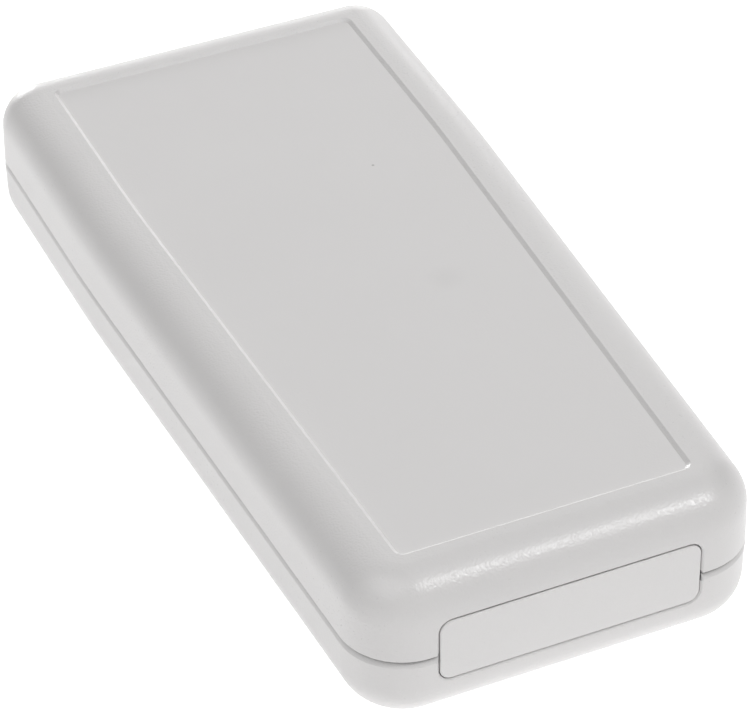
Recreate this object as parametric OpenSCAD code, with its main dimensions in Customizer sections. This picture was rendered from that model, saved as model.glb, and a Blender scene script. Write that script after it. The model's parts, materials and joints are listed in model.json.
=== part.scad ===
// Hand-held project box: two moulded shells, a trapped end panel and four screws.
// The base stands on z = 0, the panel end faces -Y and the case is symmetrical about x = 0.

/* [Case] */
// Length from the panel end to the far end
case_length = 166; // [150:1:190]
// Width across the parallel part of the sides
case_width = 80; // [70:1:100]
// Height of the upper shell, from the parting line to the top
top_shell_height = 14.5; // [13:0.25:18]
// Height of the lower shell, from the base to the parting line
bottom_shell_height = 14.5; // [13:0.25:18]
// Angle by which each long side leans in towards the panel end
taper_angle = 1.9414; // [1:0.0001:2.4]
// Distance from the middle of the case to where the sides start to lean in
taper_start = 40; // [30:1:50]
// Radius of the soft bend where the taper starts
bend_radius = 400; // [300:10:600]
// Corner radius at the panel end, seen from above
near_corner_radius = 11.2; // [10:0.1:13]
// Corner radius at the far end, seen from above
far_corner_radius = 8; // [8:0.1:11]
// Rounding of the top edge
top_edge_radius = 7.5; // [5:0.1:7.7]
// Rounding of the bottom edge
bottom_edge_radius = 7.7; // [5:0.1:7.7]
// How far each side leans in between the parting line and the edge rounding
side_draft = 0.15; // [0.05:0.05:0.2]

/* [Walls] */
// Thickness of the side walls
wall = 2.2; // [2:0.1:2.6]
// Thickness of the top outside the label recess
top_thickness = 2.7; // [2.4:0.1:3.2]
// Thickness of the floor
floor_thickness = 2.5; // [2:0.1:3]
// Inside rounding under the top
top_inner_radius = 4.5; // [3:0.1:4.8]
// Inside rounding above the floor
floor_inner_radius = 5; // [3:0.1:5]

/* [Parting joint] */
// Bevel on the outer edge of the top shell
parting_bevel = 0.1; // [0.05:0.05:0.3]
// How far the bottom shell's rim stands back under the top shell
lower_setback = 0.45; // [0.1:0.05:0.5]
// Height over which the bottom shell leans back to that rim
setback_height = 1.1; // [0.5:0.1:1.5]
// Height of the shadow gap that runs round the parting line
shadow_gap = 0.25; // [0.1:0.05:0.4]
// Depth of the shadow gap
shadow_depth = 0.7; // [0.6:0.05:0.8]
// Thickness of the tongue that stands on the bottom shell
tongue_thickness = 1; // [0.8:0.05:1.2]
// Height of the tongue
tongue_height = 1.5; // [1:0.1:2]
// Clearance between the tongue and its rebate
tongue_clearance = 0.1; // [0.05:0.05:0.2]

/* [Label recess] */
// Distance from the recess to each long side
recess_side_margin = 9.65; // [8:0.05:14]
// Distance from the recess to the panel end
recess_near_margin = 9.6; // [8.5:0.1:14]
// Distance from the recess to the far end
recess_far_margin = 8.8; // [8.5:0.1:14]
// Depth of the recess
recess_depth = 0.5; // [0.3:0.1:1]
// Corner radius of the recess, seen from above
recess_corner_radius = 1.9; // [1.4:0.1:3]
// How far the recess's sloping wall leans in over its depth
recess_slope = 0.75; // [0.3:0.05:1.2]

/* [End panel] */
// Distance from each long side, at the panel end, to the panel's opening
panel_side_cover = 12.4; // [12:0.1:18]
// Distance from the top of the case to the panel's opening
panel_top_cover = 7.7; // [7.7:0.1:9]
// Distance from the base to the panel's opening
panel_base_cover = 8.6; // [8.6:0.1:10]
// Corner radius of the opening
panel_corner_radius = 2.4; // [1.5:0.1:3]
// Gap all round the panel in its opening
panel_gap = 0.2; // [0.1:0.05:0.3]
// How far the panel's face stands back from the end of the case
panel_inset = 0.15; // [0:0.05:0.4]
// Bevel along the outer edge of the opening
opening_bevel = 0.25; // [0.1:0.05:0.4]
// Bevel along the edge of the panel's face
panel_bevel = 0.15; // [0.05:0.05:0.3]
// How far the panel's flange reaches behind the shells
flange_lip = 1.2; // [0.8:0.1:1.2]
// Thickness of the flange
flange_thickness = 1.6; // [1.2:0.1:2]
// Clearance of the flange in its slot
flange_clearance = 0.1; // [0.1:0.05:0.2]
// Thickness of the slot's ribs
slot_rib = 1.4; // [1:0.1:2]
// How far the slot's ribs reach across the back of the flange
slot_reach = 4; // [2:0.5:8]

/* [Screws and bosses] */
// Distance from the panel end to its screws
near_screw_inset = 12.5; // [12:0.1:16]
// Distance from the long sides to the screws at the panel end
near_screw_side = 12; // [12:0.1:18]
// Distance from the far end to its screws
far_screw_inset = 11.6; // [11.5:0.1:16]
// Distance from the long sides to the screws at the far end
far_screw_side = 11.5; // [11.5:0.1:18]
// Outer diameter of the bottom bosses
bottom_boss_diameter = 9; // [8:0.1:10]
// Outer diameter of the top bosses
top_boss_diameter = 7.5; // [6:0.1:8]
// Diameter of the pocket for the screw's head
head_pocket_diameter = 6.2; // [6:0.1:6.6]
// Length of the bottom boss between the screw head's seat and the parting line
seat_thickness = 7; // [6:0.1:8]
// Diameter of the clearance hole in the bottom boss
shank_hole_diameter = 3.4; // [3.2:0.1:3.8]
// Diameter of the hole that the thread grips in the top boss
thread_hole_diameter = 3; // [2.95:0.05:3.1]
// Plastic left between the end of that hole and the underside of the top
thread_hole_cap = 1.3; // [0.8:0.1:2]
// Gap between the top and bottom bosses when the shells are closed
boss_gap = 0.1; // [0.05:0.05:0.2]
// Thickness of the webs that tie the bosses to the walls
web = 1.4; // [1:0.1:2]
// Outer diameter of the screw's thread
screw_diameter = 2.9; // [2.5:0.05:2.9]
// Core diameter of the threaded length
screw_core_diameter = 2.1; // [1.9:0.05:2.3]
// Length of the screw under its head
screw_length = 14; // [12:0.5:14]
// Height of one turn of the thread
thread_pitch = 1.3; // [1:0.1:1.5]
// Diameter of the screw's head
head_diameter = 5.6; // [5:0.1:5.8]
// Height of the screw's head
head_height = 2.1; // [1.6:0.1:2.4]
// Length of the thread
thread_length = 10.4; // [8:0.1:11]
// Width of each slot of the cross in the head
cross_width = 0.8; // [0.6:0.05:1]
// Length of each slot of the cross
cross_length = 3.2; // [2.6:0.1:3.6]
// Depth of the cross
cross_depth = 1.4; // [1:0.1:1.5]

/* [Board supports] */
// Distance from the long sides, where they are parallel, to the board supports
support_side = 17; // [15:0.5:24]
// Distance from the ends to the board supports
support_inset = 39; // [30:1:50]
// Outer diameter of a board support
support_diameter = 6; // [5:0.1:7]
// Height of a board support above the floor
support_height = 4; // [3:0.5:6]
// Diameter of the pilot hole in a board support
support_hole_diameter = 2.2; // [1.8:0.1:2.6]
// Thickness of the stiffening ribs on the walls
rib = 1.2; // [1:0.1:1.6]
// How far the stiffening ribs stand out from the walls
rib_depth = 2; // [1:0.1:3]
// How far the ribs of the bottom shell end below the parting line
rib_drop = 1; // [0.5:0.1:3]
// Number of stiffening ribs on each long wall
rib_count = 3; // [1:1:5]

/* [Hidden] */
$fn = 72;
shell_colour = [0.84, 0.83, 0.81];
panel_colour = [0.83, 0.82, 0.80];
steel_colour = [0.62, 0.62, 0.64];

near_y = -case_length / 2;
far_y = case_length / 2;
parting_height = bottom_shell_height;
case_height = bottom_shell_height + top_shell_height;
ceiling = case_height - top_thickness;
// Depth of the rim that is carried round the outline, and how far the middle plates reach into it
rim = near_corner_radius * 1.1;
rim_overlap = rim / 4;
// The lean of the sides: outward normal and direction towards the far end
lean_out = [cos(taper_angle), -sin(taper_angle)];
lean_along = [sin(taper_angle), cos(taper_angle)];
inner_near_y = near_y + wall;
panel_width = 2 * tenths(half_width(near_y) - panel_side_cover);
panel_height = case_height - panel_top_cover - panel_base_cover;
panel_middle = panel_base_cover + panel_height / 2;
flange_back = inner_near_y + flange_clearance + flange_thickness;
slot_back = flange_back + flange_clearance;
near_screw_y = near_y + near_screw_inset;
near_screw = [tenths(half_width(near_screw_y) - near_screw_side), near_screw_y];
far_screw = [case_width / 2 - far_screw_side, far_y - far_screw_inset];
screw_points = [near_screw, far_screw];
head_seat_height = parting_height - seat_thickness;
thread_hole_depth = top_shell_height - top_thickness - thread_hole_cap;
// Ribs of the top shell end here, clear of the tongue
above_tongue = parting_height + tongue_height * 1.5;
// How far bosses are sunk into the plate that carries them
sunk = floor_thickness / 4;
// How far cuts reach past the faces that they open
cut = 1;

// A number at six digits, and what is left of it goes into a second, finer step
function digits(x) = x == 0 ? 0 : let (k = pow(10, 5 - floor(log(abs(x))))) round(x * k) / k;
function tenths(x) = round(x * 10) / 10;
function coarse(p) = [for (x = p) digits(x)];
function coarse_angle(a) = atan2(digits(sin(a)), digits(cos(a)));
// Half the width of the case outline at a distance along it
function half_width(y) = case_width / 2 - max(0, taper_start - bend_radius * tan(taper_angle / 2) - y)
    * tan(taper_angle);

// Moves and turns a piece in a coarse step and a fine one, so that neighbouring pieces meet exactly
module place(p, a = 0) {
    translate(coarse(p)) translate(p - coarse(p)) rotate(a) rotate(a - coarse_angle(a)) children();
}

// A straight length of a profile, from the start towards -Y
module straight(length) {
    rotate([90, 0, 0]) linear_extrude(length) children();
}

// A profile carried round a corner, filled up to the corner's axis
module corner(radius, angle) {
    rotate_extrude(angle = angle) intersection() {
        translate([radius, 0]) children();
        square([radius + 2 * cut, case_height + 2 * cut]);
    }
}

// Half of the case outline, moved in by the margins, with a profile carried along it
module half_outline(side, near_margin, far_margin, near_radius, far_radius) {
    bend = bend_radius - side;
    bend_centre = [case_width / 2 - bend_radius, taper_start];
    y = near_y + near_margin + near_radius;
    lean_length = digits((taper_start - y + (near_radius - bend) * sin(taper_angle)) / cos(taper_angle));
    near_centre = bend_centre - (near_radius - bend) * lean_out - lean_length * lean_along;
    far_centre = [case_width / 2 - side - far_radius, far_y - far_margin - far_radius];

    translate(far_centre) corner(far_radius, 90) children();
    translate([-cut, far_y - far_margin]) rotate(90) straight(far_centre[0] + cut) children();
    translate([far_centre[0] + far_radius, far_centre[1]])
        straight(far_centre[1] - taper_start) children();
    place(bend_centre, -taper_angle)
        rotate_extrude(angle = taper_angle) translate([bend, 0]) children();
    place(near_centre, -taper_angle) translate([near_radius, 0]) mirror([0, 1, 0])
        straight(lean_length) children();
    place(near_centre) mirror([0, 1, 0]) place([0, 0], taper_angle)
        corner(near_radius, 90 - taper_angle) children();
    place([near_centre[0], near_centre[1] - near_radius]) rotate(-90)
        straight(digits(near_centre[0]) + cut) children();
}

// A profile carried round the whole outline
module outline(side = 0, near = 0, far = 0, near_radius = near_corner_radius, far_radius = far_corner_radius) {
    half_outline(side, near, far, near_radius, far_radius) children();
    mirror([1, 0, 0]) half_outline(side, near, far, near_radius, far_radius) children();
}

// Fills the middle of the outline between two heights
module middle(margin, z0, z1) {
    bend_y = taper_start - bend_radius * tan(taper_angle / 2);
    y0 = near_y + margin;
    right = [
        [half_width(y0) - margin, y0],
        [case_width / 2 - margin, bend_y],
        [case_width / 2 - margin, far_y - margin]
    ];
    left = [for (i = [2:-1:0]) [-right[i][0], right[i][1]]];
    translate([0, 0, z0]) linear_extrude(z1 - z0) polygon(concat(right, left));
}

// A quarter of a disc, with its corner at p and its round side towards a
module quarter(p, r, a) {
    translate(p) intersection() {
        circle(r);
        rotate(a) square(r + cut);
    }
}

// Section of the top shell's wall, with the outside of the parting line at x = 0
module top_section() {
    straight_top = case_height - top_edge_radius;
    edge = -side_draft - top_edge_radius;
    inner_edge = -wall - top_inner_radius;
    difference() {
        union() {
            polygon([
                [-rim, parting_height],
                [-parting_bevel, parting_height],
                [0, parting_height + parting_bevel],
                [-side_draft, straight_top],
                [edge, case_height],
                [-rim, case_height]
            ]);
            quarter([edge, straight_top], top_edge_radius, 0);
        }
        polygon([
            [-rim - cut, parting_height - cut],
            [-wall, parting_height - cut],
            [-wall, ceiling - top_inner_radius],
            [inner_edge, ceiling],
            [-rim - cut, ceiling]
        ]);
        quarter([inner_edge, ceiling - top_inner_radius], top_inner_radius, 0);
        translate([-wall - cut, parting_height - cut]) square([
            cut + tongue_thickness + tongue_clearance,
            cut + tongue_height + 2 * tongue_clearance
        ]);
    }
}

// Section of the bottom shell's wall with its tongue
module bottom_section() {
    edge = -side_draft - bottom_edge_radius;
    inner_edge = -wall - floor_inner_radius;
    inner_low = floor_thickness + floor_inner_radius;
    gap_floor = parting_height - shadow_gap;
    difference() {
        union() {
            polygon([
                [-rim, 0],
                [edge, 0],
                [-side_draft, bottom_edge_radius],
                [0, gap_floor - setback_height],
                [-lower_setback, gap_floor],
                [-shadow_depth, gap_floor],
                [-shadow_depth, parting_height],
                [-rim, parting_height]
            ]);
            quarter([edge, bottom_edge_radius], bottom_edge_radius, -90);
        }
        polygon([
            [-rim - cut, floor_thickness],
            [inner_edge, floor_thickness],
            [-wall, inner_low],
            [-wall, parting_height + cut],
            [-rim - cut, parting_height + cut]
        ]);
        quarter([inner_edge, inner_low], floor_inner_radius, -90);
    }
    translate([-wall, parting_height - cut]) square([tongue_thickness, cut + tongue_height]);
}

// Section of the space that ribs and webs may fill: it ends inside the walls
module core_section(inset) {
    reach = rim - inset;
    top_r = top_edge_radius - inset;
    low_r = bottom_edge_radius - inset;
    polygon([
        [-reach, inset],
        [-side_draft - low_r, inset],
        [-side_draft, inset + low_r],
        [-side_draft, case_height - inset - top_r],
        [-side_draft - top_r, case_height - inset],
        [-reach, case_height - inset]
    ]);
    quarter([-side_draft - low_r, inset + low_r], low_r, -90);
    quarter([-side_draft - top_r, case_height - inset - top_r], top_r, 0);
}

// The space that ribs and webs may fill
module core() {
    inset = wall / 2;
    outline(inset, inset, inset, near_corner_radius - inset, far_corner_radius - inset)
        core_section(inset);
    middle(rim - rim_overlap, inset, case_height - inset);
}

// A block between two corners
module block(low, high) {
    translate(low) cube(high - low);
}

// The opening in the panel end, or the panel itself when it is shrunk
module panel_shape(grow) {
    w = panel_width + 2 * grow;
    h = panel_height + 2 * grow;
    r = max(panel_corner_radius + grow, 0.4);
    translate([0, panel_middle]) {
        square([w - 2 * r, h], center = true);
        square([w, h - 2 * r], center = true);
        for (x = [-1, 1], y = [-1, 1]) translate([x * (w / 2 - r), y * (h / 2 - r)]) circle(r);
    }
}

// A plate across the panel end between two distances along the case
module panel_plate(y0, y1, grow) {
    translate([0, y1, 0]) rotate([90, 0, 0]) linear_extrude(y1 - y0) panel_shape(grow);
}

// A profile carried round the edge of the opening: x outwards from the edge, y towards -Y
module around_opening() {
    r = panel_corner_radius;
    flats = [panel_width / 2 - r, panel_height / 2 - r];
    rotate([90, 0, 0]) translate([0, panel_middle, 0]) for (i = [0:3]) rotate(90 * i) {
        out = flats[i % 2];
        along = flats[1 - i % 2];
        translate([out, along]) rotate_extrude(angle = 90) translate([r, 0]) children();
        translate([out + r, along]) straight(2 * along) children();
    }
}

// The opening in both shells, wider at its outer edge by a bevel
module panel_opening() {
    face = -near_y - side_draft;
    wide = cut / 2;
    panel_plate(near_y - cut, inner_near_y + cut, 0);
    around_opening() polygon([
        [-wide, face - opening_bevel],
        [0, face - opening_bevel],
        [opening_bevel + cut, face + cut],
        [-wide, face + cut]
    ]);
}

// Both sides of the case
module both_sides() {
    children();
    mirror([1, 0, 0]) children();
}

// Ribs that hold the panel's flange, between two heights
module panel_slot(z0, z1) {
    side = panel_width / 2 + flange_lip + flange_clearance;
    both_sides() {
        block([side, near_y, z0], [side + slot_rib, slot_back + slot_rib, z1]);
        block([side - slot_reach, slot_back, z0], [side + slot_rib, slot_back + slot_rib, z1]);
    }
}

// Webs from each boss to the two walls beside it, between two heights
module boss_webs(z0, z1) {
    both_sides() {
        block([near_screw[0], near_screw[1] - web / 2, z0], [case_width / 2, near_screw[1] + web / 2, z1]);
        block([far_screw[0], far_screw[1] - web / 2, z0], [case_width / 2, far_screw[1] + web / 2, z1]);
        block([far_screw[0] - web / 2, far_screw[1], z0], [far_screw[0] + web / 2, far_y, z1]);
    }
}

// Stiffening ribs along the long walls, between two heights
module wall_ribs(z0, z1) {
    both_sides() for (i = [1:rib_count]) {
        y = near_y + (i + 1) * case_length / (rib_count + 3);
        inner = half_width(y) - wall;
        block([inner - rib_depth, y - rib / 2, z0], [case_width / 2, y + rib / 2, z1]);
    }
}

// The upper shell: walls, label recess, bosses and panel slot
module top_shell() {
    color(shell_colour) difference() {
        union() {
            outline() top_section();
            middle(rim - rim_overlap, ceiling, case_height);
            intersection() {
                union() {
                    boss_webs(above_tongue, case_height);
                    panel_slot(above_tongue, case_height);
                    wall_ribs(above_tongue, case_height);
                }
                core();
            }
            both_sides() for (p = screw_points) translate([p[0], p[1], parting_height + boss_gap])
                cylinder(d = top_boss_diameter, h = ceiling + sunk - parting_height - boss_gap);
        }
        outline(recess_side_margin, recess_near_margin, recess_far_margin,
            recess_corner_radius, recess_corner_radius) recess_section();
        middle(recess_side_margin + rim_overlap, case_height - recess_depth, case_height + cut);
        both_sides() for (p = screw_points) translate([p[0], p[1], parting_height])
            cylinder(d = thread_hole_diameter, h = thread_hole_depth);
        panel_opening();
    }
}

// Section of the label recess, with its sloping wall
module recess_section() {
    polygon([
        [-2 * rim_overlap, case_height - recess_depth],
        [-recess_slope, case_height - recess_depth],
        [0, case_height],
        [cut * recess_slope / recess_depth, case_height + cut],
        [-2 * rim_overlap, case_height + cut]
    ]);
}

// The lower shell: walls, tongue, floor, bosses, board supports and panel slot
module bottom_shell() {
    color(shell_colour) difference() {
        union() {
            outline() bottom_section();
            middle(rim - rim_overlap, 0, floor_thickness);
            intersection() {
                union() {
                    boss_webs(0, parting_height - rib_drop);
                    panel_slot(0, parting_height - boss_gap);
                    wall_ribs(0, parting_height - rib_drop);
                }
                core();
            }
            both_sides() for (p = screw_points) translate([p[0], p[1], floor_thickness - sunk])
                cylinder(d = bottom_boss_diameter, h = parting_height - floor_thickness + sunk);
            at_supports() cylinder(d = support_diameter, h = support_height + sunk);
        }
        both_sides() for (p = screw_points) translate([p[0], p[1], -cut]) {
            cylinder(d = head_pocket_diameter, h = head_seat_height + cut);
            cylinder(d = shank_hole_diameter, h = parting_height + 2 * cut);
        }
        at_supports() translate([0, 0, sunk]) cylinder(d = support_hole_diameter, h = support_height + cut);
        panel_opening();
    }
}

// The four places of the board supports, a little below the floor's surface
module at_supports() {
    both_sides() for (y = [-1, 1])
        translate([case_width / 2 - support_side, y * (far_y - support_inset), floor_thickness - sunk]) children();
}

// The panel: its face fills the opening and its flange is trapped behind the walls
module end_panel() {
    face = -near_y - panel_inset;
    edge = -panel_gap - panel_bevel;
    past = cut / 2;
    color(panel_colour) {
        difference() {
            panel_plate(near_y + panel_inset, flange_back, -panel_gap);
            around_opening() polygon([
                [edge - past, face + past],
                [edge + panel_bevel + past, face - panel_bevel - past],
                [edge + panel_bevel + past, face + past]
            ]);
        }
        panel_plate(inner_near_y + flange_clearance, flange_back, flange_lip);
    }
}

// A self-tapping screw with a cross in its head, standing head down with the seat at z = 0
module screw() {
    turns = floor(thread_length / thread_pitch);
    core = screw_core_diameter / 2;
    crest = screw_diameter / 2;
    start = screw_length - thread_length;
    turn = [[core, 0], [crest, 0.3], [crest, 0.5], [core, 0.8]];
    thread = [for (i = [0:turns - 1], p = turn) [p[0], start + (i + p[1]) * thread_pitch]];
    color(steel_colour) difference() {
        rotate_extrude() polygon(concat(
            [[0, -head_height], [head_diameter * 0.4, -head_height]],
            [[head_diameter / 2, -head_height * 0.65], [head_diameter / 2, 0], [crest, 0]],
            [[crest, start - thread_pitch / 4]],
            thread,
            [[core, screw_length - core], [core / 2, screw_length], [0, screw_length]]
        ));
        for (a = [0, 90]) rotate(a)
            translate([-cross_length / 2, -cross_width / 2, -head_height - cut])
                cube([cross_length, cross_width, cross_depth + cut]);
    }
}

// A screw in the boss at p
module screw_at(x, y) {
    translate([x, y, head_seat_height]) screw();
}

top_shell();
bottom_shell();
end_panel();
screw_at(-near_screw[0], near_screw[1]);  // screw_near_left
screw_at(near_screw[0], near_screw[1]);  // screw_near_right
screw_at(-far_screw[0], far_screw[1]);  // screw_far_left
screw_at(far_screw[0], far_screw[1]);  // screw_far_right
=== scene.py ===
"""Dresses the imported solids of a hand-held project box, in metres and in the frame of the solids.

The shells and the end panel get a grained, moulded plastic. The four case screws are made anew, with a
rounded head, a pressed cross and a true helical thread. The box stands on a pale light table, under a few
far lamps and in white surroundings.
"""
import json
import math
from typing import NamedTuple

import bpy
import numpy as np
from bpy.props import FloatProperty, FloatVectorProperty, IntProperty, PointerProperty
from mathutils import Matrix, Vector


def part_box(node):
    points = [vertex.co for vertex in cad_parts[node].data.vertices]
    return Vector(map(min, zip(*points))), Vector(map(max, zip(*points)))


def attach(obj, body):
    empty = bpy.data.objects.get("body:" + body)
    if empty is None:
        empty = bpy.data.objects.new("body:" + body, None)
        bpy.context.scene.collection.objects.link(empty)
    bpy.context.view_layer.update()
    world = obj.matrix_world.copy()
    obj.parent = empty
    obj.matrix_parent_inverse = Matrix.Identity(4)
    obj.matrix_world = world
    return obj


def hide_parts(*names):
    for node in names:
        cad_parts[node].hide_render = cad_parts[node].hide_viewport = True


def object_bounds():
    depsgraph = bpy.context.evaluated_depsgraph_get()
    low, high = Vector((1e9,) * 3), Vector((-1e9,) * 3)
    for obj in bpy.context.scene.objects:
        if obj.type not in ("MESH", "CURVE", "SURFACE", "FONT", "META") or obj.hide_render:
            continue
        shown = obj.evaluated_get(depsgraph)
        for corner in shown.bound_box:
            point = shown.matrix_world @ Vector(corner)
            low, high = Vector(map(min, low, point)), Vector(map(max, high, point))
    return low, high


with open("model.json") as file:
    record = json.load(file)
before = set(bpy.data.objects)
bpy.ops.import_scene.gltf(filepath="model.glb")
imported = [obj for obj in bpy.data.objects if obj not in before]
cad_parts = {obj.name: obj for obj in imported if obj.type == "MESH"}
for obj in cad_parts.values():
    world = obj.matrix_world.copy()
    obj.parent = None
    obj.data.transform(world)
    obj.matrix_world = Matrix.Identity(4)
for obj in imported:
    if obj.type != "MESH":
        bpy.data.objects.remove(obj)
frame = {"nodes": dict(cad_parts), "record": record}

bl_info = {
    "name": "Project Box",
    "version": (1, 0, 0),
    "blender": (4, 5, 0),
    "location": "3D View > Sidebar > Project Box",
    "description": "Gives a two-shell project box its plastic, its screws and its stage",
    "category": "Object",
}

MM = 0.001
BODY = "root"
SCREWS = ("screw_near_left", "screw_near_right", "screw_far_left", "screw_far_right")
CAD_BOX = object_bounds()
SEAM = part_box("top_shell")[0].z     # height at which the two shells meet
RECESS = next(mount for mount in frame["record"]["mounts"] if mount["name"] == "label_recess")
RECESS_FLOOR = RECESS["pos_m"][2]
HALF_WALL = (RECESS_FLOOR + CAD_BOX[1].z) / 2       # height half way up the wall of the recess
FLAT = 0.995                # a flat top faces up by more than this share
WALL_TILT = 0.45            # a recess wall faces sideways by more than this share, a rounded edge by less

# The plastic
FINE_SHARE = 0.7            # share of the grain's depth in its fine pits; its wide pits have the rest
WIDE_PIT = 3                # width of a wide pit, in widths of a fine one
DRIFT_SIZE = 25 * MM        # size of the patches over which tone and gloss drift
MARK_TONE = 0.25            # tone of a mark at its full strength, as a share of the plastic's tone
# Painted shade in the seam between the shells: the colour is darkened where walls close round a point near
# the seam's height.
PAINTED_SEAM_TONE = 0.05            # tone of a fully shaded seam, as a share of the plastic's tone
SEAM_BELOW = 1.5            # how far below the seam its shade may lie, in seam reaches
SEAM_ABOVE = 0.3            # how far above the seam its shade may lie, in seam reaches
SHADE_RAYS = 8              # rays that look for walls beside a point
WALLED_IN = 0.5             # share of those rays that still run free where the shade is full
IN_THE_OPEN = 0.98          # share of those rays that run free where the shade ends

# The screws
ARMS = 4                    # arms of the pressed cross
ARM_EDGE = 0.5              # where an arm ends in the turn from its middle (0) to the next gap's middle (1)
ARM_COLUMNS = (-0.501, -0.499, -0.25, 0.0, 0.25, 0.499, 0.501, 0.75, 1.0, 1.25)     # one arm and its gap
CORNER = 0.7072             # radius at which two arms meet, in widths of an arm: just over sqrt(1/2)
INNER_ROW = 0.2             # the one row inside that corner, in lengths of an arm
ARM_ROWS = (0.36, 0.5, 0.7, 0.9, 1.0, 1.02)     # the rows outside it, in lengths of an arm
CROSS_RISE = 0.55           # how much of the cross's depth is lost at the end of an arm
HEAD_ROWS = 16              # rows from the cross to the rim of the head
SEAT_FILLET = 0.05          # fillet under the head, in shank radii sideways and in pitches along the screw
THREAD_PHASES = (0.0, 0.3, 0.5, 0.8, 1.0)       # one turn: flank, crest, flank and root
THREAD_RIDGE = (0.0, 1.0, 1.0, 0.0, 0.0)        # height of the thread at these phases
SHARP_ANGLE = math.radians(35)                  # edges that are sharper than this aren't smoothed

# The floor and the camera
FLOOR_RINGS = 24
FLOOR_SPOKES = 64
FIRST_RING = 0.02           # radius of the floor's inmost ring
SENSOR_WIDTH = 36.0         # in millimetres, as Blender has it
NEAR_CLIP = 0.01            # nearest distance that the camera shows


def screw_head_width():
    """The width of a screw's head, which is the widest part of its solid."""
    low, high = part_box(SCREWS[0])
    return high.x - low.x


# ---------------------------------------------------------------------------------------------------------
# Sizes and colours that a user would change
# ---------------------------------------------------------------------------------------------------------

def length(name, description, default):
    """A length in metres that can't be negative."""
    return FloatProperty(name=name, description=description, default=default, min=0.0,
                         subtype="DISTANCE", unit="LENGTH", precision=5)


def offset(name, description, default):
    """A length in metres that may be negative."""
    return FloatProperty(name=name, description=description, default=default,
                         subtype="DISTANCE", unit="LENGTH")


def share(name, description, default):
    """A number between nothing and all."""
    return FloatProperty(name=name, description=description, default=default, min=0.0, max=1.0,
                         subtype="FACTOR")


def colour(name, description, default):
    """A colour, as the share of red, green and blue light that it sends back."""
    return FloatVectorProperty(name=name, description=description, default=default, size=3,
                               min=0.0, max=1.0, subtype="COLOR")


def angle(name, description, degrees):
    """An angle, given in degrees and kept in radians."""
    return FloatProperty(name=name, description=description, default=math.radians(degrees),
                         subtype="ANGLE", unit="ROTATION")


class PlasticFinish(bpy.types.PropertyGroup):
    """The moulded plastic of the shells and the panel."""

    shell_colour: colour("Shell colour", "Colour of the two shells", (0.70, 0.688, 0.685))
    panel_colour: colour("Panel colour", "Colour of the end panel", (0.72, 0.708, 0.705))
    roughness: share("Roughness", "How matt the plastic is, before its grain is added", 0.33)
    gloss_drift: share("Gloss drift", "How much the gloss changes from place to place", 0.08)
    grain_gloss: share("Grain gloss", "How much the gloss changes from pit to pit", 0.16)
    tone_drift: share("Tone drift", "How much the colour changes from place to place", 0.015)
    grain_size: length("Grain size", "Width of one pit of the moulded grain", 0.38 * MM)
    grain_depth: length("Grain depth", "Depth of one pit of the moulded grain", 0.06 * MM)
    smooth_share: share("Smooth share", "How much of the grain is left in the label recess", 0.3)
    # Painted highlight: the recess walls that face +X or +Y are lightened in colour, as if they caught more
    # light.
    painted_wall_highlight: share("Wall polish", "How much lighter the left and near walls of the recess are", 0.2)
    seam_reach: length("Seam reach", "How far from a seam its shade still shows", 1.2 * MM)
    # Painted shade: how strongly the colour is darkened inside a seam.
    seam_painted_shade: share("Seam shade", "How much darker the plastic is inside a seam", 0.95)
    # Strength of a wide, faint darkening of the colour on the label recess.
    patch_tone: share("Smudge tone", "Strength of the wide, faint mark on the label recess", 0.05)


class ScrewSizes(bpy.types.PropertyGroup):
    """The case screws, drawn head down as they stand in the box."""

    steel_colour: colour("Steel colour", "Colour of the plated steel", (0.62, 0.62, 0.64))
    head_width: length("Head width", "Diameter of the head", screw_head_width())
    head_height: length("Head height", "Height of the head", 2.1 * MM)
    thread_width: length("Thread width", "Diameter of the thread, and of the shank under the head", 2.9 * MM)
    core_width: length("Core width", "Diameter between the turns of the thread", 2.1 * MM)
    pitch: length("Pitch", "Height of one turn of the thread", 1.3 * MM)
    plain_length: length("Plain length", "Length of the shank, before the thread begins", 3.3 * MM)
    cross_width: length("Cross width", "Width of each arm of the cross", 0.8 * MM)
    cross_reach: length("Cross reach", "Length of each arm of the cross from the axis", 1.6 * MM)
    cross_depth: length("Cross depth", "Depth of the cross at the axis", 1.4 * MM)
    steps_per_turn: IntProperty(name="Steps per turn", description="Rows of faces in one turn of the thread",
                                default=16, min=6, max=64)


class StageSettings(bpy.types.PropertyGroup):
    """The camera, the light table and the level of the light."""

    azimuth: angle("Azimuth", "Where the camera stands round the box, from -Y towards +X", -23.91)
    elevation: angle("Elevation", "Height of the camera above the floor, as an angle", 38.04)
    roll: angle("Roll", "How far the camera is turned about its own line of sight", -0.60)
    distance: length("Distance", "From the camera to the middle of the base", 0.67476)
    across: offset("Across", "How far the camera is moved to its right", 2.05 * MM)
    above: offset("Above", "How far the camera is moved up in its own view", 6.76 * MM)
    lens: FloatProperty(name="Lens", description="Focal length for a 36 mm sensor, in millimetres",
                        default=179.75, min=1.0)
    floor_colour: colour("Floor colour", "Colour of the floor", (0.85, 0.85, 0.85))
    floor_glow: share("Floor glow", "Brightness of the light that comes up through the floor", 0.66)
    covered_glow: share("Covered glow", "Share of the floor glow that is left under the box", 0.5)
    cover_margin: length("Cover margin", "How far inside the box's outline that part begins", 9 * MM)
    floor_gap: length("Floor gap", "How far the floor lies below the base", 0.2 * MM)
    floor_radius: length("Floor radius", "Radius of the round floor", 4.0)
    sky_level: share("Sky level", "Brightness of the light that comes from all round", 0.0)


class Lamp(NamedTuple):
    """One far, soft lamp: where it stands round the box and above it, and how wide it looks, all in degrees,
    and how bright it is."""

    name: str
    azimuth: float
    elevation: float
    width: float
    strength: float


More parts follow.
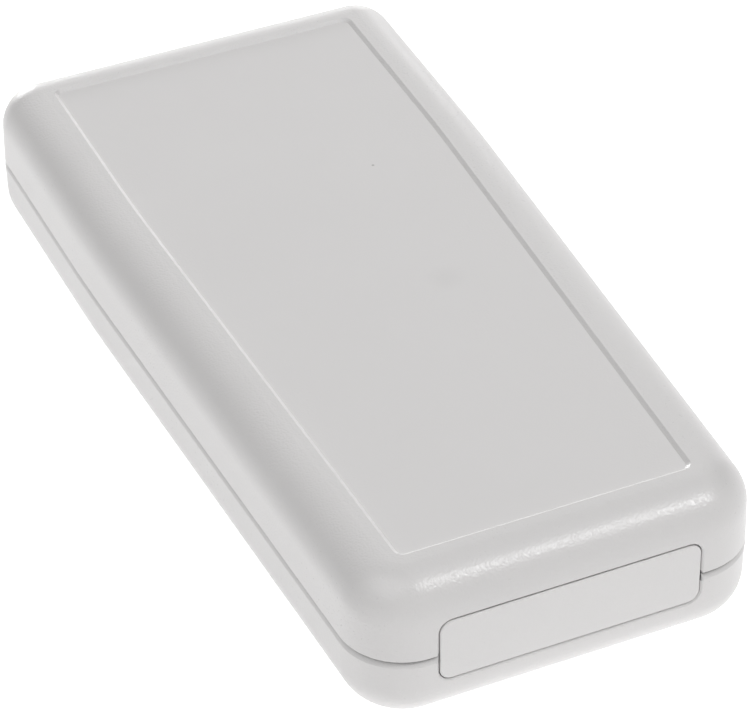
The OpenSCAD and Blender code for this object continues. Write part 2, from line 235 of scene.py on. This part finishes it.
LAMPS = (
    Lamp("lamp_key", 44.0, 56.0, 14.0, 1.10),
    Lamp("lamp_left", -70.0, 62.0, 55.0, 1.10),
    Lamp("lamp_right", 110.0, 62.0, 40.0, 0.48),
    Lamp("lamp_back_high", 144.0, 42.0, 24.0, 0.15),
    Lamp("lamp_back_low", 150.0, 5.0, 24.0, 0.35),
    Lamp("lamp_behind", 180.0, 5.0, 24.0, 1.30),
)


class Flag(NamedTuple):
    """A dark card in the surroundings that only a shine can show: where it hangs and its inner and outer
    radius, all in degrees, and how much of the white it takes away."""

    azimuth: float
    elevation: float
    inner: float
    outer: float
    depth: float


FLAGS = (
    Flag(108.0, 42.0, 18.0, 38.0, 0.9),
    Flag(-150.0, 12.0, 18.0, 38.0, 0.9),
)


class Mark(NamedTuple):
    """A faint darker spot in the plastic's colour: its middle and radius, how far it fades beyond them, and
    its strength.
    """

    centre: tuple
    radius: float
    softness: float
    strength: float


# ---------------------------------------------------------------------------------------------------------
# Materials
# ---------------------------------------------------------------------------------------------------------

class Field:
    """A value that varies over a surface. Arithmetic on it adds the nodes that work the result out."""

    def __init__(self, finish, socket):
        self.finish = finish
        self.socket = socket

    def _maths(self, operation, first, second):
        return self.finish.add("ShaderNodeMath", {"operation": operation}, {0: first, 1: second})

    def __add__(self, other):
        return self._maths("ADD", self, other)

    def __radd__(self, other):
        return self._maths("ADD", other, self)

    def __sub__(self, other):
        return self._maths("SUBTRACT", self, other)

    def __rsub__(self, other):
        return self._maths("SUBTRACT", other, self)

    def __mul__(self, other):
        return self._maths("MULTIPLY", self, other)

    def __rmul__(self, other):
        return self._maths("MULTIPLY", other, self)

    def __gt__(self, other):
        return self._maths("GREATER_THAN", self, other)

    def __lt__(self, other):
        return self._maths("LESS_THAN", self, other)


class Finish:
    """The nodes of one material or world, added by one method."""

    def __init__(self, owner):
        self.owner = owner
        owner.use_nodes = True
        self.tree = owner.node_tree
        self.tree.nodes.clear()

    def add(self, kind, settings=None, inputs=None, output=0):
        """Adds a node. Its settings come first, then the values or links of its sockets."""
        node = self.tree.nodes.new(kind)
        for name, value in (settings or {}).items():
            setattr(node, name, value)
        for name, value in (inputs or {}).items():
            if isinstance(value, Field):
                self.tree.links.new(value.socket, node.inputs[name])
            else:
                node.inputs[name].default_value = value
        return Field(self, node.outputs[output])

    def place(self):
        """Where a point of the surface is, in metres."""
        return self.add("ShaderNodeTexCoord", output="Object")

    def facing(self):
        """The direction in which the surface faces."""
        return self.add("ShaderNodeTexCoord", output="Normal")

    def part_of(self, vector, axis):
        """The X, Y or Z part of a place or a direction."""
        return self.add("ShaderNodeSeparateXYZ", None, {"Vector": vector}, output=axis)

    def nearer(self, value, limit):
        """1 where a value lies between minus the limit and the limit, and 0 elsewhere."""
        return self.add("ShaderNodeMath", {"operation": "ABSOLUTE"}, {0: value}) < limit

    def eased(self, value, start, end, first, last):
        """Goes smoothly from the first number to the last while a value goes from start to end."""
        return self.add("ShaderNodeMapRange", {"interpolation_type": "SMOOTHSTEP"},
                        {"Value": value, "From Min": start, "From Max": end,
                         "To Min": first, "To Max": last})

    def noise(self, place, size, detail=2.0, roughness=0.5):
        """Cloudy noise between 0 and 1 whose features are about size across."""
        return self.add("ShaderNodeTexNoise", {"noise_dimensions": "3D"},
                        {"Vector": place, "Scale": 1 / size, "Detail": detail, "Roughness": roughness})

    def hidden(self, reach):
        """0 on open ground, rising to 1 where walls closer than the reach stand round a point."""
        free = self.add("ShaderNodeAmbientOcclusion", {"samples": SHADE_RAYS}, {"Distance": reach},
                        output="AO")
        return self.eased(free, WALLED_IN, IN_THE_OPEN, 1.0, 0.0)

    def spot(self, place, centre, radius, softness):
        """1 inside a ball, falling to 0 over its softness."""
        away = self.add("ShaderNodeVectorMath", {"operation": "DISTANCE"}, {0: place, 1: centre},
                        output="Value")
        return self.eased(away, radius, radius + softness, 1.0, 0.0)

    def blend(self, amount, first, second):
        """The first colour where amount is 0, and the second where it is 1. The colour sockets go by
        number, because others have the same names."""
        return self.add("ShaderNodeMix", {"data_type": "RGBA"}, {0: amount, 6: first, 7: second}, output=2)

    def bumps(self, height, depth):
        """The surface's direction once a height between 0 and 1 is pressed into it."""
        return self.add("ShaderNodeBump", None, {"Strength": 1.0, "Distance": depth, "Height": height})

    def surface(self, **inputs):
        """Ends the material in a plain surface shader with these sockets."""
        named = {name.replace("_", " "): value for name, value in inputs.items()}
        return self.end("ShaderNodeOutputMaterial", self.add("ShaderNodeBsdfPrincipled", None, named))

    def end(self, kind, shader):
        """Joins a shader to an output node of this kind, and hands back the finished material or world."""
        output = self.tree.nodes.new(kind)
        self.tree.links.new(shader.socket, output.inputs["Surface"])
        return self.owner


def toned(tone, factor):
    """A colour whose three parts are multiplied by a factor, as four numbers for a colour socket."""
    return (*(part * factor for part in tone), 1.0)


def painted_seam_shade(nodes, height, seam, finish):
    """How much painted shade darkens the colour in the narrow gap between the shells, and none away from the
    height of the seam.
    """
    above_low = height > seam - finish.seam_reach * SEAM_BELOW
    below_high = height < seam + finish.seam_reach * SEAM_ABOVE
    return nodes.hidden(finish.seam_reach) * above_low * below_high * finish.seam_painted_shade


def moulded_plastic(name, tone, finish, marks=(), seam=None):
    """Fine-grained plastic. The grain is two sizes of noise that press shallow pits into the surface, and
    slow noise lets tone and gloss drift a little. The label recess is smoother, and its walls that lean
    towards +X or +Y get a painted highlight, a lighter colour. Where a seam is given, painted shade darkens
    the colour in the gap between the shells. Each mark is a soft, darker ball."""
    nodes = Finish(bpy.data.materials.new(name))
    place = nodes.place()
    facing = nodes.facing()
    height = nodes.part_of(place, "Z")
    fine = nodes.noise(place, finish.grain_size, detail=0.0)
    wide = nodes.noise(place, finish.grain_size * WIDE_PIT, detail=1.0)
    drift = nodes.noise(place, DRIFT_SIZE, detail=2.0)
    in_recess = (nodes.part_of(facing, "Z") > FLAT) * (height < HALF_WALL)
    rough_share = 1 - in_recess * (1 - finish.smooth_share)
    leaning = (nodes.part_of(facing, "X") > WALL_TILT) + (nodes.part_of(facing, "Y") > WALL_TILT)
    highlit_walls = leaning * (height > RECESS_FLOOR)

    tones = nodes.blend(drift, toned(tone, 1 - finish.tone_drift), toned(tone, 1 + finish.tone_drift))
    # Painted highlight on the recess walls that face +X or +Y.
    tones = nodes.blend(highlit_walls, tones, toned(tone, 1 + finish.painted_wall_highlight))
    for mark in marks:
        spot = nodes.spot(place, mark.centre, mark.radius, mark.softness)
        tones = nodes.blend(spot * mark.strength, tones, toned(tone, MARK_TONE))
    # Painted shade darkens the colour in the seam between the shells.
    if seam is not None:
        tones = nodes.blend(painted_seam_shade(nodes, height, seam, finish), tones, toned(tone, PAINTED_SEAM_TONE))
    gloss = (finish.roughness + (drift - 0.5) * finish.gloss_drift
             + (fine - 0.5) * rough_share * finish.grain_gloss)
    grain = (fine * FINE_SHARE + wide * (1 - FINE_SHARE)) * rough_share
    return nodes.surface(Base_Color=tones, Roughness=gloss, Normal=nodes.bumps(grain, finish.grain_depth),
                         IOR=1.5)


def plated_steel(name, tone):
    """Dull plated steel. Wide, faint clouds change its tone and gloss, and fine specks roughen it."""
    speck_size, speck_depth = 0.12 * MM, 0.002 * MM
    cloud_size = 1.2 * MM
    dim, bright = 0.9, 1.05
    smoothest, cloud_matt, speck_matt = 0.24, 0.12, 0.06
    nodes = Finish(bpy.data.materials.new(name))
    place = nodes.place()
    specks = nodes.noise(place, speck_size, detail=3.0, roughness=0.6)
    clouds = nodes.noise(place, cloud_size, detail=2.0)
    tones = nodes.blend(clouds, toned(tone, dim), toned(tone, bright))
    gloss = smoothest + clouds * cloud_matt + specks * speck_matt
    return nodes.surface(Base_Color=tones, Metallic=1.0, Roughness=gloss,
                         Normal=nodes.bumps(specks, speck_depth))


def dress(node, material):
    """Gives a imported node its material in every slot."""
    piece = frame["nodes"][node]
    if not piece.data.materials:
        piece.data.materials.append(material)
    for slot in piece.material_slots:
        slot.material = material


# ---------------------------------------------------------------------------------------------------------
# Meshes
# ---------------------------------------------------------------------------------------------------------

def turned_mesh(name, points, sharp_angle):
    """A closed mesh from rows of points that run round an axis. The first and the last row lie on the axis,
    as equal points, and become one point each."""
    rows, columns = points.shape[:2]
    here = np.arange((rows - 2) * columns).reshape(rows - 2, columns) + 1
    beside = np.roll(here, -1, axis=1)
    quads = np.stack([here[:-1], beside[:-1], beside[1:], here[1:]], axis=-1).reshape(-1, 4)
    last = here.max() + 1
    start = np.stack([np.zeros(columns, int), beside[0], here[0]], axis=-1)
    end = np.stack([np.full(columns, last), here[-1], beside[-1]], axis=-1)
    corners = np.concatenate([points[0, :1], points[1:-1].reshape(-1, 3), points[-1, :1]])

    mesh = bpy.data.meshes.new(name)
    mesh.from_pydata(corners.tolist(), [], quads.tolist() + start.tolist() + end.tolist())
    mesh.validate()
    mesh.shade_smooth()
    mesh.set_sharp_from_angle(angle=sharp_angle)
    return mesh


def screw_profile(sizes, tip):
    """Radius and height along the screw, from the middle of its head to its point. The head is a squared
    circle, (r / R)^4 + (z / H)^4 = 1. Then come the flat seat, a shank that narrows to the core of the
    thread, the threaded length, and a blunt point, where r^2 falls evenly to nothing."""
    head, core, shank = sizes.head_width / 2, sizes.core_width / 2, sizes.thread_width / 2
    reach = sizes.cross_reach
    face = np.array([0.0, reach * INNER_ROW, sizes.cross_width * CORNER, *(reach * row for row in ARM_ROWS)])
    face_height = -sizes.head_height * (1 - (face / head) ** 4) ** 0.25
    turn = np.linspace(np.arcsin((face[-1] / head) ** 2), math.pi / 2, HEAD_ROWS)[1:]
    seat = np.array([[shank * (1 + SEAT_FILLET), 0.0], [shank, SEAT_FILLET * sizes.pitch]])
    steps = round((tip - sizes.plain_length) / sizes.pitch * sizes.steps_per_turn)
    height = np.linspace(sizes.plain_length, tip, steps)
    to_point = np.clip((tip - height) / sizes.core_width, 0, 1)
    return np.concatenate([
        np.stack([face, face_height], axis=-1),
        np.stack([head * np.sqrt(np.sin(turn)), -sizes.head_height * np.sqrt(np.cos(turn))], axis=-1),
        seat,
        np.stack([core * np.sqrt(to_point), height], axis=-1),
    ])


def press_cross(radius, turn, sizes):
    """How deep the cross is pressed in. It covers the arms and the middle where they meet, and its floor
    rises evenly with the radius."""
    in_arm = np.abs(turn) < ARM_EDGE
    in_middle = radius < sizes.cross_width * CORNER
    depth = sizes.cross_depth * (1 - CROSS_RISE * radius / sizes.cross_reach)
    return np.where((radius <= sizes.cross_reach) & (in_arm | in_middle), depth, 0.0)


def column_angles(radius, height, turn, sizes):
    """The angle of each column in each row. Within the cross an arm's edge lies at the angle whose sine is
    half the arm's width over the radius, so that its walls are straight, but nowhere past the middle of the
    gap. From the cross to the rim of the head the columns even out, and below the head they are even."""
    quarter = 2 * math.pi / ARMS
    arm = np.repeat(np.arange(ARMS), len(turn) // ARMS)
    reach, rim = sizes.cross_reach, sizes.head_width / 2
    meeting = sizes.cross_width * math.sqrt(0.5)
    edge = np.arcsin(sizes.cross_width / 2 / np.maximum(radius, meeting))
    evened = np.where(height < 0, np.clip((radius - reach) / (rim - reach), 0, 1), 1.0)
    edge = edge + (quarter / 4 - edge) * evened
    in_arm = np.clip(turn, -ARM_EDGE, ARM_EDGE)
    return arm * quarter + (in_arm * edge + (turn - in_arm) * (quarter / 2 - edge)) / ARM_EDGE


def thread_ridge(height, around, tip, sizes):
    """How far the thread stands out of the core, from 0 to 1: a trapezoid of the phase z / pitch - angle /
    turn, which rises in the first turn and falls in the last."""
    along = (height - sizes.plain_length) / sizes.pitch
    phase = np.mod(along - around / (2 * math.pi), 1.0)
    run_in = np.clip(along, 0, 1)
    run_out = np.clip((tip - height) / sizes.pitch, 0, 1)
    return np.interp(phase, THREAD_PHASES, THREAD_RIDGE) * np.minimum(run_in, run_out)


def screw_mesh(name, sizes, seat, tip):
    """A screw as a surface of two parameters: rows along its profile, and columns round it. The cross is
    pressed into the head, and the thread stands out of the core."""
    profile = screw_profile(sizes, tip)
    radius, height = profile[:, :1], profile[:, 1:]
    turn = np.tile(ARM_COLUMNS, ARMS)
    around = column_angles(radius, height, turn, sizes)
    depth = np.where(height < 0, press_cross(radius, turn, sizes), 0.0)
    thread_depth = (sizes.thread_width - sizes.core_width) / 2
    full = radius + thread_ridge(height, around, tip, sizes) * thread_depth
    points = np.stack([
        seat.x + full * np.cos(around),
        seat.y + full * np.sin(around),
        seat.z + height + depth,
    ], axis=-1)
    return turned_mesh(name, points, SHARP_ANGLE)


# ---------------------------------------------------------------------------------------------------------
# The stage
# ---------------------------------------------------------------------------------------------------------

def flag_shade(nodes, flag):
    """How much of the white a flag takes away in the direction that is looked in. A world has only its
    own Generated coordinates to give that direction."""
    towards = direction(math.radians(flag.azimuth), math.radians(flag.elevation))
    looking = nodes.add("ShaderNodeTexCoord", output="Generated")
    across = nodes.add("ShaderNodeVectorMath", {"operation": "DOT_PRODUCT"}, {0: looking, 1: towards},
                       output="Value")
    return nodes.eased(across, math.cos(math.radians(flag.outer)), math.cos(math.radians(flag.inner)),
                       0.0, flag.depth)


def white_surroundings(name, settings):
    """A world that looks white to the camera, also through what is clear. A shine shows it too, with the
    dark flags in it, and it lights the box only by the sky level."""
    nodes = Finish(bpy.data.worlds.new(name))
    path = {ray: nodes.add("ShaderNodeLightPath", output=f"Is {ray} Ray")
            for ray in ("Camera", "Glossy", "Transmission", "Diffuse")}
    shine = 1.0
    for flag in FLAGS:
        shine = shine - flag_shade(nodes, flag)
    level = (path["Camera"] + path["Transmission"] + path["Glossy"] * shine
             + path["Diffuse"] * settings.sky_level)
    white = nodes.add("ShaderNodeBackground", None, {"Color": (1.0, 1.0, 1.0, 1.0), "Strength": level})
    return nodes.end("ShaderNodeOutputWorld", white)


def light_table(name, settings):
    """A matt white sheet lit from below, which keeps the box's soft shadow and is clear from underneath.
    The light is weaker where the box covers it, so that the underside isn't overlit."""
    nodes = Finish(bpy.data.materials.new(name))
    place = nodes.place()
    low, high = CAD_BOX
    covered = (nodes.nearer(nodes.part_of(place, "X"), (high.x - low.x) / 2 - settings.cover_margin)
               * nodes.nearer(nodes.part_of(place, "Y"), (high.y - low.y) / 2 - settings.cover_margin))
    white = (1.0, 1.0, 1.0)
    glowing = nodes.blend(covered, toned(white, settings.floor_glow),
                          toned(white, settings.floor_glow * settings.covered_glow))
    sheet = nodes.add("ShaderNodeBsdfDiffuse", None, {"Color": toned(settings.floor_colour, 1.0)})
    glow = nodes.add("ShaderNodeEmission", None, {"Color": glowing})
    lit = nodes.add("ShaderNodeAddShader", None, {0: sheet, 1: glow})
    below = nodes.add("ShaderNodeNewGeometry", output="Backfacing")
    clear = nodes.add("ShaderNodeBsdfTransparent")
    either = nodes.add("ShaderNodeMixShader", None, {0: below, 1: lit, 2: clear})
    return nodes.end("ShaderNodeOutputMaterial", either)


def round_floor(name, settings):
    """A flat disc: rings of points whose radii grow by equal ratios, round a middle point."""
    radii = np.geomspace(FIRST_RING, settings.floor_radius, FLOOR_RINGS)
    around = np.linspace(0, 2 * math.pi, FLOOR_SPOKES, endpoint=False)
    rings = radii[:, None, None] * np.stack([np.cos(around), np.sin(around), 0 * around], axis=-1)
    corners = np.concatenate([np.zeros((1, 3)), rings.reshape(-1, 3)]) - (0, 0, settings.floor_gap)
    here = np.arange(FLOOR_RINGS * FLOOR_SPOKES).reshape(FLOOR_RINGS, FLOOR_SPOKES) + 1
    beside = np.roll(here, -1, axis=1)
    middle = np.stack([np.zeros(FLOOR_SPOKES, int), here[0], beside[0]], axis=-1)
    quads = np.stack([here[:-1], here[1:], beside[1:], beside[:-1]], axis=-1).reshape(-1, 4)
    mesh = bpy.data.meshes.new(name)
    mesh.from_pydata(corners.tolist(), [], middle.tolist() + quads.tolist())
    mesh.materials.append(light_table("light_table", settings))
    return bpy.data.objects.new(name, mesh)


def direction(azimuth, elevation):
    """The unit vector towards a place round the box: azimuth runs from -Y towards +X."""
    return Vector((math.sin(azimuth) * math.cos(elevation), -math.cos(azimuth) * math.cos(elevation),
                   math.sin(elevation)))


def far_lamp(lamp):
    """A lamp so far away that its light is even over the box."""
    data = bpy.data.lights.new(lamp.name, "SUN")
    data.energy = lamp.strength
    data.angle = math.radians(lamp.width)
    piece = bpy.data.objects.new(lamp.name, data)
    towards = direction(math.radians(lamp.azimuth), math.radians(lamp.elevation))
    piece.rotation_euler = towards.to_track_quat("Z", "Y").to_euler()
    piece.location = towards
    return piece


def aimed_camera(name, settings):
    """A camera aimed at the middle of the base, rolled about its line of sight and then moved in its own
    view."""
    back = direction(settings.azimuth, settings.elevation)
    level = Vector((math.cos(settings.azimuth), math.sin(settings.azimuth), 0.0))
    upright = back.cross(level)
    right = math.cos(settings.roll) * level + math.sin(settings.roll) * upright
    up = math.cos(settings.roll) * upright - math.sin(settings.roll) * level
    data = bpy.data.cameras.new(name)
    data.lens = settings.lens
    data.sensor_width = SENSOR_WIDTH
    data.clip_start = NEAR_CLIP
    camera = bpy.data.objects.new(name, data)
    place = back * settings.distance + right * settings.across + up * settings.above
    camera.matrix_world = Matrix.Translation(place) @ Matrix((right, up, back)).transposed().to_4x4()
    return camera


# ---------------------------------------------------------------------------------------------------------
# Operators
# ---------------------------------------------------------------------------------------------------------

class PROJECTBOX_OT_shells(bpy.types.Operator):
    """Dress the two shells in grained plastic, with a small dark speck and a wide, faint darker patch on the
    label recess
    """

    bl_idname = "project_box.dress_shells"
    bl_label = "Dress Shells"
    bl_options = {"REGISTER", "UNDO"}

    def execute(self, context):
        finish = context.scene.box_plastic
        tone = finish.shell_colour
        speck = Mark((14.5 * MM, 27.5 * MM, RECESS_FLOOR), 0.12 * MM, 0.25 * MM, 0.5)
        # A wide, faint darker patch in the colour of the label recess.
        faint_patch = Mark((12.0 * MM, -9.0 * MM, RECESS_FLOOR), 0.5 * MM, 4.0 * MM, finish.patch_tone)
        dress("top_shell", moulded_plastic("top_shell_plastic", tone, finish, (speck, faint_patch), SEAM))
        dress("bottom_shell", moulded_plastic("bottom_shell_plastic", tone, finish, (), SEAM))
        return {"FINISHED"}


class PROJECTBOX_OT_panel(bpy.types.Operator):
    """Dress the end panel in a slightly lighter plastic"""

    bl_idname = "project_box.dress_panel"
    bl_label = "Dress End Panel"
    bl_options = {"REGISTER", "UNDO"}

    def execute(self, context):
        finish = context.scene.box_plastic
        dress("end_panel", moulded_plastic("end_panel_plastic", finish.panel_colour, finish))
        return {"FINISHED"}


class PROJECTBOX_OT_screws(bpy.types.Operator):
    """Make the four case screws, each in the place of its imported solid"""

    bl_idname = "project_box.add_screws"
    bl_label = "Add Screws"
    bl_options = {"REGISTER", "UNDO"}

    def execute(self, context):
        sizes = context.scene.box_screws
        steel = plated_steel("screw_steel", sizes.steel_colour)
        for node in SCREWS:
            low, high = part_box(node)
            seat = Vector(((low.x + high.x) / 2, (low.y + high.y) / 2, low.z + sizes.head_height))
            mesh = screw_mesh(node + "_threaded", sizes, seat, high.z - seat.z)
            mesh.materials.append(steel)
            piece = bpy.data.objects.new(node + "_threaded", mesh)
            context.scene.collection.objects.link(piece)
            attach(piece, BODY)
            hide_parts(node)
        return {"FINISHED"}


class PROJECTBOX_OT_stage(bpy.types.Operator):
    """Add the light table, the lamps, the white surroundings and the camera"""

    bl_idname = "project_box.add_stage"
    bl_label = "Add Stage"
    bl_options = {"REGISTER", "UNDO"}

    def execute(self, context):
        settings = context.scene.box_stage
        scene = context.scene
        scene.view_settings.view_transform = "Standard"
        scene.world = white_surroundings("surroundings", settings)
        floor = round_floor("floor", settings)
        scene.collection.objects.link(floor)
        for lamp in LAMPS:
            scene.collection.objects.link(far_lamp(lamp))
        scene.camera = aimed_camera("camera", settings)
        scene.collection.objects.link(scene.camera)
        return {"FINISHED"}


# ---------------------------------------------------------------------------------------------------------
# The sidebar, and the order of the work
# ---------------------------------------------------------------------------------------------------------

class PROJECTBOX_PT_sidebar(bpy.types.Panel):
    """Lists the steps that dress the box, with their sizes and colours"""

    bl_label = "Project Box"
    bl_idname = "PROJECTBOX_PT_sidebar"
    bl_space_type = "VIEW_3D"
    bl_region_type = "UI"
    bl_category = "Project Box"

    def draw(self, context):
        scene = context.scene
        for operators, settings in STEPS:
            box = self.layout.box()
            for operator in operators:
                box.operator(operator.bl_idname)
            for name in getattr(scene, settings).bl_rna.properties.keys():
                if name not in ("rna_type", "name"):
                    box.prop(getattr(scene, settings), name)


STEPS = (
    ((PROJECTBOX_OT_shells, PROJECTBOX_OT_panel), "box_plastic"),
    ((PROJECTBOX_OT_screws,), "box_screws"),
    ((PROJECTBOX_OT_stage,), "box_stage"),
)
GROUPS = {"box_plastic": PlasticFinish, "box_screws": ScrewSizes, "box_stage": StageSettings}
CLASSES = (
    *GROUPS.values(),
    *(operator for operators, _ in STEPS for operator in operators),
    PROJECTBOX_PT_sidebar,
)


def register():
    for cls in CLASSES:
        bpy.utils.register_class(cls)
    for name, group in GROUPS.items():
        setattr(bpy.types.Scene, name, PointerProperty(type=group))


def unregister():
    for name in GROUPS:
        delattr(bpy.types.Scene, name)
    for cls in reversed(CLASSES):
        bpy.utils.unregister_class(cls)


def main():
    register()
    bpy.ops.project_box.dress_shells()
    bpy.ops.project_box.dress_panel()
    bpy.ops.project_box.add_screws()
    bpy.ops.project_box.add_stage()


if __name__ == "__main__":
    main()
